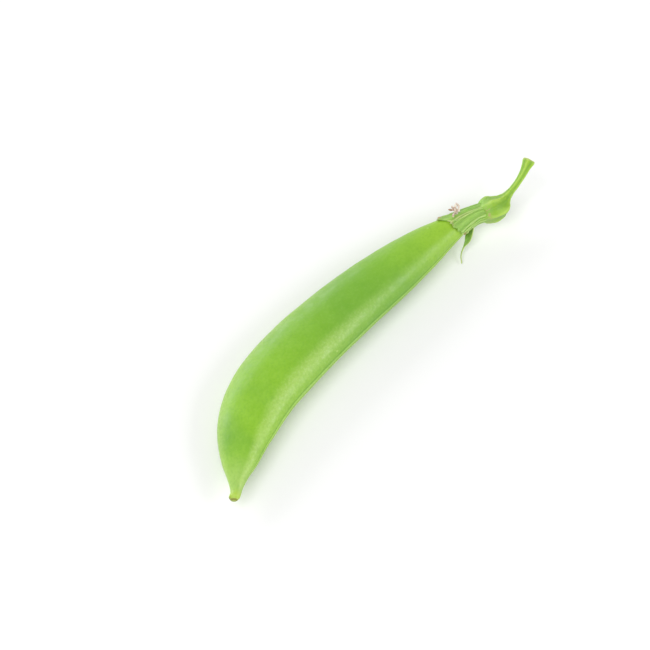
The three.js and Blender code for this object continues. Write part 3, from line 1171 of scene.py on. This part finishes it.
class PEAPOD_OT_wisp(bpy.types.Operator):
    """Add the dried filaments that the flower left on the calyx"""

    bl_idname = "peapod.wisp"
    bl_label = "Dried Wisp"

    def execute(self, context):
        shape = FILAMENT_SHAPE
        rings = [(distance, radius, FILAMENT_FLATNESS * radius) for distance, radius in shape]
        made = []
        for path in FILAMENTS:
            filament = tube("filament", rings, round_section(FILAMENT_SIDES))
            subdivide_smoothly(filament, 1)
            bend_along(filament, path)
            made.append(filament)
        only_choose(*made)
        bpy.ops.object.join()
        piece = context.object
        piece.name = "pea_stamen_wisp"
        roughen(piece, *WISP_GROWTH)
        dried = material_called("dried_wisp", wisp_material)
        hand_over(piece, dried, "dried_stamen", "stamen_wisp")
        return {"FINISHED"}


class PEAPOD_OT_stage(bpy.types.Operator):
    """Add a plain pale floor, soft studio lights and the camera"""

    bl_idname = "peapod.stage"
    bl_label = "Stage"

    def execute(self, context):
        settings = context.scene.pea_stage
        bpy.ops.object.select_all(action="DESELECT")
        bpy.ops.mesh.primitive_plane_add(size=FLOOR_SIZE)
        floor = context.object
        floor.name = "floor"
        floor.data.materials.append(stage_material())
        turn = Matrix.Rotation(settings.azimuth, 4, "Z")
        tilt = Matrix.Rotation(math.pi / 2 - settings.elevation, 4, "X")
        camera_data = bpy.data.cameras.new("camera")
        camera_data.lens = settings.focal_length
        camera_data.sensor_width = 36
        camera_data.clip_start = 0.01
        camera = bpy.data.objects.new("camera", camera_data)
        context.scene.collection.objects.link(camera)
        facing = turn @ tilt
        stand = CAMERA_AIM + facing @ Vector((0, 0, settings.distance))
        camera.matrix_world = Matrix.Translation(stand) @ facing
        context.scene.camera = camera
        for name, place, width, height, power in LIGHTS:
            light_data = bpy.data.lights.new(name, "AREA")
            light_data.energy = power
            light_data.shape = "RECTANGLE"
            light_data.size = width
            light_data.size_y = height
            light = bpy.data.objects.new(name, light_data)
            context.scene.collection.objects.link(light)
            toward = (CAMERA_AIM - Vector(place)).to_track_quat("-Z", "Y").to_matrix().to_4x4()
            light.matrix_world = Matrix.Translation(place) @ toward
        world = bpy.data.worlds.new("studio")
        world.use_nodes = True
        background = world.node_tree.nodes["Background"]
        background.inputs["Color"].default_value = (1, 1, 1, 1)
        background.inputs["Strength"].default_value = settings.ambient
        context.scene.world = world
        context.scene.view_settings.view_transform = "Standard"
        return {"FINISHED"}


class PEAPOD_PT_panel(bpy.types.Panel):
    """Sizes, colours and the parts of the pod"""

    bl_label = "Pea Pod"
    bl_idname = "PEAPOD_PT_panel"
    bl_space_type = "VIEW_3D"
    bl_region_type = "UI"
    bl_category = "Pea Pod"

    def draw(self, context):
        layout = self.layout
        for settings in (context.scene.pea_pod, context.scene.pea_calyx, context.scene.pea_stage):
            box = layout.box()
            for key in settings.bl_rna.properties.keys():
                if key not in {"rna_type", "name"}:
                    box.prop(settings, key)
        for name in OPERATORS:
            layout.operator("peapod." + name)


# In the order in which they run.
OPERATORS = ("stage", "pod", "calyx_base", "sepals", "loose_sepal", "stalk", "wisp")

CLASSES = (
    PeaPodSettings,
    PeaCalyxSettings,
    PeaStageSettings,
    PEAPOD_OT_pod,
    PEAPOD_OT_calyx_base,
    PEAPOD_OT_sepals,
    PEAPOD_OT_loose_sepal,
    PEAPOD_OT_stalk,
    PEAPOD_OT_wisp,
    PEAPOD_OT_stage,
    PEAPOD_PT_panel,
)


def register():
    for cls in CLASSES:
        bpy.utils.register_class(cls)
    bpy.types.Scene.pea_pod = bpy.props.PointerProperty(type=PeaPodSettings)
    bpy.types.Scene.pea_calyx = bpy.props.PointerProperty(type=PeaCalyxSettings)
    bpy.types.Scene.pea_stage = bpy.props.PointerProperty(type=PeaStageSettings)


def unregister():
    del bpy.types.Scene.pea_pod
    del bpy.types.Scene.pea_calyx
    del bpy.types.Scene.pea_stage
    for cls in reversed(CLASSES):
        bpy.utils.unregister_class(cls)


def main():
    register()
    for name in OPERATORS:
        getattr(bpy.ops.peapod, name)()


if __name__ == "__main__":
    main()
